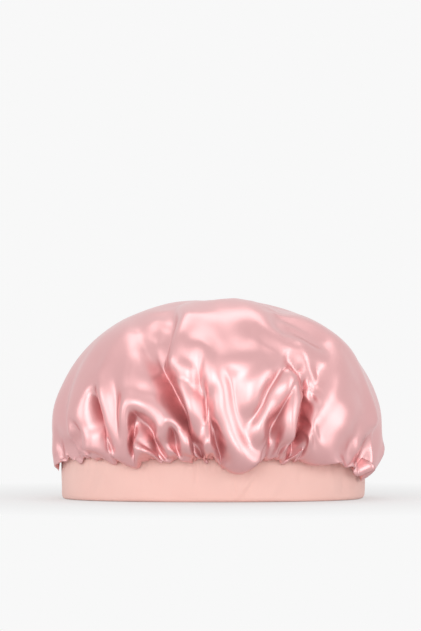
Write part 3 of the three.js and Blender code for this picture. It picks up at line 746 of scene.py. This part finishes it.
def settled(rest, start, faces, sewn_edge, hold, bending, pressure, growth, frames):
    """Lets the cloth solver settle a gathered sheet, and gives its points.

    The cloth has the lengths of the rest points. It is carried to the start points in the first frames, and
    then hangs on its sewn edge, lightly held elsewhere, blown out by air and grown by a share of its size.
    """
    carried, let_go = 6, 12
    mesh = bpy.data.meshes.new("settling")
    mesh.from_pydata(rest.tolist(), [], faces.tolist())
    sheet = bpy.data.objects.new("settling", mesh)
    scene.collection.objects.link(sheet)
    sheet.shape_key_add(name="rest")
    carry = sheet.shape_key_add(name="gathered")
    carry.data.foreach_set("co", start.ravel())
    for frame_number, value in ((1, 0.0), (carried, 1.0)):
        carry.value = value
        carry.keyframe_insert("value", frame=frame_number)
    pins = sheet.vertex_groups.new(name="pins")
    pins.add(np.flatnonzero(sewn_edge).tolist(), 1.0, "REPLACE")
    pins.add(np.flatnonzero(~sewn_edge).tolist(), hold, "REPLACE")
    solver = sheet.modifiers.new("cloth", "CLOTH")
    cloth = solver.settings
    cloth.quality = 8
    cloth.mass = 0.1
    cloth.air_damping = 2
    cloth.tension_stiffness = cloth.compression_stiffness = 40
    cloth.shear_stiffness = 10
    cloth.bending_stiffness = bending
    cloth.tension_damping = cloth.compression_damping = cloth.shear_damping = 1
    cloth.bending_damping = 0.5
    cloth.vertex_group_mass = "pins"
    for frame_number, stiffness in ((carried, 20.0), (let_go, 0.3)):
        cloth.pin_stiffness = stiffness
        cloth.keyframe_insert("pin_stiffness", frame=frame_number)
    cloth.use_pressure = True
    cloth.uniform_pressure_force = pressure
    cloth.effector_weights.gravity = 0.01
    cloth.shrink_min = cloth.shrink_max = -growth
    solver.collision_settings.use_collision = False
    solver.collision_settings.use_self_collision = True
    solver.collision_settings.self_distance_min = 0.0012
    solver.collision_settings.collision_quality = 2
    solver.point_cache.frame_end = frames
    for frame_number in range(1, frames + 1):
        scene.frame_set(frame_number)
    result = sheet.evaluated_get(bpy.context.evaluated_depsgraph_get()).to_mesh()
    points = np.empty(len(result.vertices) * 3)
    result.vertices.foreach_get("co", points)
    actions = {sheet.animation_data.action.name, mesh.shape_keys.animation_data.action.name}
    bpy.data.objects.remove(sheet)
    bpy.data.meshes.remove(mesh)
    for action in actions:
        bpy.data.actions.remove(bpy.data.actions[action])
    scene.frame_set(1)
    return points.reshape(-1, 3)


def eased(grid, passes, share):
    """Draws each point of a square grid towards the middle of its four neighbours, and leaves the border."""
    grid = grid.copy()
    for _ in range(passes):
        around = grid[:-2, 1:-1] + grid[2:, 1:-1] + grid[1:-1, :-2] + grid[1:-1, 2:]
        grid[1:-1, 1:-1] += (around / 4 - grid[1:-1, 1:-1]) * share
    return grid


def fine_shift(start, moved, cells):
    """How far the cloth settled, without its broad drift, on a grid with twice as many squares."""
    shift = (moved - start).reshape(cells + 1, cells + 1, 3)
    shift = shift - eased(shift, 160, 1.0)
    rows = np.empty((2 * cells + 1, cells + 1, 3))
    rows[::2], rows[1::2] = shift, (shift[1:] + shift[:-1]) / 2
    fine = np.empty((2 * cells + 1, 2 * cells + 1, 3))
    fine[:, ::2], fine[:, 1::2] = rows, (rows[:, 1:] + rows[:, :-1]) / 2
    return eased(fine, 2, 0.5).reshape(-1, 3)


def clear_of_band(points, room, side):
    """Eases cloth away from the band and the raw edges above it, to a distance from the middle line.

    The side is 1 for cloth outside the band, and -1 for cloth inside it.
    """
    angle = np.arctan2(points[:, 1], points[:, 0])
    face = band_points(angle, side * room, 0)
    short = side * (np.hypot(face[:, 0], face[:, 1]) - np.hypot(points[:, 0], points[:, 1]))
    below = smooth_step((CLEAR_TOP - points[:, 2]) / CLEAR_FADE)
    push = side * (short + np.hypot(short, CLEAR_SOFTNESS)) / 2 * below
    return points + push[:, None] * np.stack([np.cos(angle), np.sin(angle), 0 * angle], axis=1)


def satin_finish(name, pale, deep):
    """Polyester satin: smooth floats of thread that shine along their length, with a soft change of shade."""
    material, tree, shader = new_material(name)
    place = add_node(tree, "ShaderNodeUVMap", uv_map="cloth").outputs["UV"]
    floats = cloth_waves(tree, 0.0005, "DIAGONAL")
    grain = add_node(tree, "ShaderNodeTangent", direction_type="UV_MAP", uv_map="cloth")
    set_inputs(tree, shader, {
        "Base Color": clouded(tree, place, 14.0, 3.0, deep, pale),
        "Normal": embossed(tree, floats, strength=0.04, distance=0.0001),
        "Tangent": grain.outputs["Tangent"], "Anisotropic": 0.6, "Metallic": 0.95, "Roughness": 0.4,
        "Coat Weight": 0.4, "Coat IOR": 1.9, "Coat Roughness": 0.32,
    })
    return material


def with_raw_edge(points, faces, disc, edge, radius, outside):
    """Adds the seam allowance to a gathered disc: its raw edge stands against the band's, above the seam.

    Gives the points, the faces and each corner's place on the flat disc.
    """
    flat = disc * radius
    ring = np.flatnonzero(edge)
    ring = ring[np.argsort(np.arctan2(disc[ring, 1], disc[ring, 0]))]
    angle = np.arctan2(points[ring, 1], points[ring, 0])
    count, first = len(ring), len(points)
    for step, height in enumerate((RAW_EDGE_FOOT, EDGE_HEIGHT)):
        points = np.vstack([points, band_points(angle, outside, height)])
        flat = np.vstack([flat, disc[ring] * (radius + SEAM_ALLOWANCE * (step + 1) / 2)])
    rings = np.stack([ring, first + np.arange(count), first + count + np.arange(count)])
    for inner, outer in zip(rings, rings[1:]):
        faces = np.vstack([faces, np.stack([inner, outer, np.roll(outer, -1), np.roll(inner, -1)], axis=1)])
    return points, faces, flat[faces]


crown_lines = dome_paths(SEAM_OUTSIDE, SEAM_HEIGHT, CROWN_WIDE, CROWN_TOP, lobe_drop)
crown_disc, crown_faces, crown_edge = round_disc(2 * SATIN_CELLS)
crown_points = gathered(crown_disc, crown_lines, fold_strength=1.0, pleat_strength=0.5)
coarse_disc, coarse_faces, coarse_edge = round_disc(SATIN_CELLS)
coarse_start = gathered(coarse_disc, crown_lines, fold_strength=1.0, pleat_strength=0.5)
coarse_rest = gathered(coarse_disc, crown_lines, fold_strength=1.25, pleat_strength=1.6)
coarse_settled = settled(
    coarse_rest, coarse_start, coarse_faces, coarse_edge,
    hold=0.35, bending=150, pressure=8, growth=0.01, frames=32,
)
crown_points = crown_points + SETTLED_SHARE * fine_shift(coarse_start, coarse_settled, SATIN_CELLS)
crown_side = 2 * SATIN_CELLS + 1
from_seam = np.clip((1 - np.hypot(*crown_disc.T)) / 0.12, 0, 1).reshape(crown_side, crown_side, 1)
crown_grid = crown_points.reshape(crown_side, crown_side, 3)
crown_points = eased(crown_grid, 2, from_seam[1:-1, 1:-1]).reshape(-1, 3)
crown_points = clear_of_band(crown_points, CROWN_ROOM, 1)
crown_shell = BVHTree.FromPolygons(crown_points.tolist(), crown_faces.tolist())
crown_radius = path_length(crown_lines)
crown = cloth_piece(
    "satin_crown",
    *with_raw_edge(crown_points, crown_faces, crown_disc, crown_edge, crown_radius, RAW_EDGE_OUTSIDE),
)
give_thickness(crown, SATIN_THICKNESS, -1)
crown.data.materials.append(satin_finish("crown_satin_finish", SATIN_PINK, SATIN_DEEP))
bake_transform(crown)
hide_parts("crown_satin")


# Lining. A smaller disc of the same satin, its shine inwards, gathered into the same seam from the inside.
# It keeps the seam off the hair and fills the crown, so it lies inside every fold of the crown.
LINING_CELLS = 56
LINING_WIDE = (0.097, 0.075)
LINING_TOP = 0.1226
LINING_SEAM_OUTSIDE = -0.0046
LINING_SEAM_HEIGHT = 0.0325
LINING_ROOM = 0.003  # least distance from the crown
LINING_BAND_ROOM = 0.0045  # least distance from the band's middle line, by the seam
LINING_PINK = (0.78, 0.47, 0.465, 1)
LINING_DEEP = (0.72, 0.42, 0.42, 1)


def inside_shell(points, shell, room):
    """Moves points in until they lie the given distance behind a shell."""
    moved = points.copy()
    for number, point in enumerate(points):
        place, outwards, _, _ = shell.find_nearest(Vector(point))
        proud = (Vector(point) - place).dot(outwards) + room
        if proud > 0 and point[2] > CROWN_WIDE_HEIGHT:
            moved[number] -= proud * np.array(outwards)
    return moved


def no_hang(angle):
    """The lining doesn't sag below the seam."""
    return np.zeros_like(angle)


lining_disc, lining_faces, lining_edge = round_disc(LINING_CELLS)
lining_lines = dome_paths(LINING_SEAM_OUTSIDE, LINING_SEAM_HEIGHT, LINING_WIDE, LINING_TOP, no_hang)
lining_points = gathered(lining_disc, lining_lines, fold_strength=0.2, pleat_strength=0.4)
lining_rest = gathered(lining_disc, lining_lines, fold_strength=0.35, pleat_strength=0.9)
lining_points = settled(
    lining_rest, lining_points, lining_faces, lining_edge,
    hold=0.4, bending=60, pressure=4, growth=0.03, frames=28,
)
for _ in range(3):
    lining_points = inside_shell(lining_points, crown_shell, LINING_ROOM)
lining_points = clear_of_band(lining_points, LINING_BAND_ROOM, -1)
lining_radius = path_length(lining_lines)
lining = cloth_piece(
    "satin_lining",
    *with_raw_edge(lining_points, lining_faces, lining_disc, lining_edge, lining_radius, -RAW_EDGE_OUTSIDE),
)
smooth_lining = lining.modifiers.new("smooth", "SUBSURF")
smooth_lining.levels = smooth_lining.render_levels = 1
give_thickness(lining, SATIN_THICKNESS, -1)
lining.data.materials.append(satin_finish("lining_satin_finish", LINING_PINK, LINING_DEEP))
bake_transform(lining)
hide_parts("crown_lining")


# Gathering threads. A long running stitch of pink thread through each disc's standing edge, pulled up to draw
# the edge in to the length of the band, and left in the seam.
GATHER_OUTSIDE = 0.0027  # from the band's middle line to the thread
GATHER_HEIGHT = 0.0336
GATHER_STITCHES = 96
GATHER_LENGTH = 0.0042

level_stitches = stitch_nodes("level_stitches", thread_finish, upright="Z")
ring_angles = np.linspace(0, FULL_TURN, 240, endpoint=False)


def sew_gathers(name, node, side):
    """Running stitches round the seam. side is 1 on the crown's edge and -1 on the lining's."""
    half, dip = GATHER_LENGTH / 2, side * THREAD_RADIUS * 2
    bend = [(-half, dip, 0), (-half / 2, -dip / 2, 0), (half / 2, -dip / 2, 0), (half, dip, 0)]
    path = band_points(ring_angles, side * GATHER_OUTSIDE, GATHER_HEIGHT)
    thread = sew(name, level_stitches, path, True, GATHER_STITCHES, bend)
    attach(thread, "band")
    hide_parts(node)


sew_gathers("crown_running_stitch", "crown_gathering_thread", 1)
sew_gathers("lining_running_stitch", "lining_gathering_thread", -1)


# Overlock. Loops of pink thread from a serger, close together over the raw edges of band, crown and lining.
# They join the layers above the seam line and keep the edges from fraying, between the crown and the lining.
OVERLOCK_LOOPS = 260
OVERLOCK_HALF = 0.0031  # half of the bundle of edges that a loop goes over
OVERLOCK_REACH = 0.0035
OVERLOCK_RISE = 0.0026
OVERLOCK_SLANT = 0.0009

loop_bend = [
    (-OVERLOCK_SLANT, -OVERLOCK_HALF, -OVERLOCK_REACH),
    (-OVERLOCK_SLANT, -OVERLOCK_HALF, OVERLOCK_RISE),
    (OVERLOCK_SLANT, OVERLOCK_HALF, OVERLOCK_RISE),
    (OVERLOCK_SLANT, OVERLOCK_HALF, -OVERLOCK_REACH),
]
raw_edges = band_points(ring_angles, 0, EDGE_HEIGHT)
overlock = sew("overlock_loops", level_stitches, raw_edges, True, OVERLOCK_LOOPS, loop_bend)
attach(overlock, "band")
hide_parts("seam_overlock")


# Care label. A short white satin ribbon, folded in half, with its ends caught in the seam at the back.
# It hangs inside the band and flips up on its sewn end. Its face is blank.
LABEL_HALF_WIDTH = 0.012
LABEL_TOP = 0.0297
LABEL_FOLD = 0.0076
LABEL_BACK = 0.0686  # its middle, from the middle of the band
LABEL_PLY_GAP = 0.00022  # from its middle to each ply
LABEL_CURL = 0.0012
LABEL_THICKNESS = 0.00022
LABEL_WHITE = (0.88, 0.86, 0.84, 1)
LABEL_SHADE = (0.78, 0.75, 0.73, 1)


def ribbon_weave():
    """White satin ribbon: fine ribs across it and a slow change of shade."""
    material, tree, shader = new_material("ribbon_weave")
    place = add_node(tree, "ShaderNodeTexCoord").outputs["Object"]
    weft = cloth_waves(tree, 0.0005, "Y")
    set_inputs(tree, shader, {
        "Base Color": clouded(tree, place, 120.0, 3.0, LABEL_SHADE, LABEL_WHITE),
        "Normal": embossed(tree, weft, strength=0.3, distance=0.0001),
        "Roughness": 0.45, "Sheen Weight": 0.2,
    })
    return material


label_columns = 13
half_label = [(-LABEL_PLY_GAP, LABEL_TOP), (-LABEL_PLY_GAP, LABEL_FOLD + 0.0004), (0, LABEL_FOLD)]
label_line, label_length = even_line(half_label + [(-y, z) for y, z in half_label[1::-1]], 41)
hang = (LABEL_TOP - label_line[:, 1:2]) / (LABEL_TOP - LABEL_FOLD)
across = np.linspace(-1, 1, label_columns)[None, :]
label_y = LABEL_BACK + label_line[:, 0:1] - LABEL_CURL * hang ** 2 * (0.6 + 0.4 * across ** 2)
label_x = across * LABEL_HALF_WIDTH * (1 - 0.02 * hang)
label_points = np.stack(np.broadcast_arrays(label_x, label_y, label_line[:, 1:2]), axis=-1)
label = cloth_piece(
    "ribbon_label", label_points,
    *strip_faces(len(label_line), label_columns, 2 * LABEL_HALF_WIDTH, label_length, joined=False),
)
give_thickness(label, LABEL_THICKNESS)
label.data.materials.append(ribbon_weave())
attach(label, "label")
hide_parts("care_label")


# Studio. A pale floor that runs out of sight, with soft light from above, the front and both sides.
# The background is the pale floor colour, and the floor keeps the bonnet's own shadow.
BACKGROUND = (0.939, 0.939, 0.939, 1)  # the pale grey of the sweep, as light
FLOOR_GREY = (0.82, 0.82, 0.82, 1)
WORLD_LIGHT = 0.64
PHOTO_HEIGHT = 631  # pixels
METRES_PER_PIXEL = 0.000713
SENSOR_HEIGHT = 24  # mm
CAMERA_DISTANCE = 6.0
CAMERA_RISE = math.radians(1)
CAMERA_AIM = Vector((-0.0014, 0, 0.1305))
FLOOR_HALF = 4.0
LIGHT_AIM = Vector((0, 0, 0.07))


def seen_or_mirrored(tree):
    """1 for what is seen directly, in a reflection or through glass, and 0 for light on the object."""
    rays = add_node(tree, "ShaderNodeLightPath").outputs
    direct = add_node(
        tree, "ShaderNodeMath", {0: rays["Is Camera Ray"], 1: rays["Is Glossy Ray"]}, operation="MAXIMUM"
    )
    return add_node(
        tree, "ShaderNodeMath", {0: direct.outputs[0], 1: rays["Is Transmission Ray"]}, operation="MAXIMUM"
    ).outputs[0]


def floor_paper():
    """Pale paper that shows the shadow near the bonnet and runs into the background further away."""
    material, tree, shader = new_material("floor_paper")
    set_inputs(tree, shader, {"Base Color": FLOOR_GREY, "Roughness": 1.0, "Specular IOR Level": 0.0})
    glow = add_node(tree, "ShaderNodeEmission", {"Color": BACKGROUND, "Strength": 1.0})
    place = add_node(tree, "ShaderNodeTexCoord")
    away = add_node(tree, "ShaderNodeVectorMath", {0: place.outputs["Object"]}, operation="LENGTH")
    fade = add_node(
        tree, "ShaderNodeMapRange",
        {"Value": away.outputs["Value"], "From Min": 0.10, "From Max": 0.34, "To Min": 0.45, "To Max": 1.0},
    )
    share = add_node(
        tree, "ShaderNodeMath", {0: fade.outputs["Result"], 1: seen_or_mirrored(tree)}, operation="MULTIPLY"
    )
    both = add_node(
        tree, "ShaderNodeMixShader",
        {0: share.outputs[0], 1: shader.outputs["BSDF"], 2: glow.outputs["Emission"]},
    )
    tree.links.new(both.outputs["Shader"], tree.nodes["Material Output"].inputs["Surface"])
    return material


floor_mesh = bpy.data.meshes.new("floor")
floor_corners = [(-1, -1), (1, -1), (1, 1), (-1, 1)]
floor_mesh.from_pydata([(x * FLOOR_HALF, y * FLOOR_HALF, 0) for x, y in floor_corners], [], [(0, 1, 2, 3)])
floor_mesh.materials.append(floor_paper())
floor = bpy.data.objects.new("floor", floor_mesh)
scene.collection.objects.link(floor)

world = bpy.data.worlds.new("studio")
scene.world = world
world.use_nodes = True
sky = world.node_tree
lighting = sky.nodes["Background"]
set_inputs(sky, lighting, {"Color": (1, 1, 1, 1), "Strength": WORLD_LIGHT})
backdrop = add_node(sky, "ShaderNodeBackground", {"Color": BACKGROUND, "Strength": 1.0})
chosen = add_node(
    sky, "ShaderNodeMixShader",
    {0: seen_or_mirrored(sky), 1: lighting.outputs["Background"], 2: backdrop.outputs["Background"]},
)
sky.links.new(chosen.outputs["Shader"], sky.nodes["World Output"].inputs["Surface"])


def soft_box(name, place, size, power):
    """A square soft light that faces the bonnet."""
    light = bpy.data.lights.new(name, "AREA")
    light.shape = "SQUARE"
    light.size = size
    light.energy = power
    lamp = bpy.data.objects.new(name, light)
    lamp.location = place
    lamp.rotation_euler = (LIGHT_AIM - lamp.location).to_track_quat("-Z", "Y").to_euler()
    scene.collection.objects.link(lamp)


soft_box("top_light", (0.0, 0.25, 1.2), size=0.7, power=2)
soft_box("front_light", (-0.15, -1.5, 0.35), size=0.8, power=5.5)
soft_box("left_light", (-1.0, -0.9, 0.3), size=0.8, power=3.5)
soft_box("right_light", (1.0, -0.85, 0.35), size=0.8, power=4)

camera_data = bpy.data.cameras.new("camera")
camera_data.sensor_fit = "VERTICAL"
camera_data.sensor_height = SENSOR_HEIGHT
camera_data.lens = SENSOR_HEIGHT * CAMERA_DISTANCE / (PHOTO_HEIGHT * METRES_PER_PIXEL)
camera = bpy.data.objects.new("camera", camera_data)
camera.location = CAMERA_AIM + CAMERA_DISTANCE * Vector((0, -math.cos(CAMERA_RISE), math.sin(CAMERA_RISE)))
camera.rotation_euler = (CAMERA_AIM - camera.location).to_track_quat("-Z", "Y").to_euler()
scene.collection.objects.link(camera)
scene.camera = camera
scene.view_settings.view_transform = "Standard"
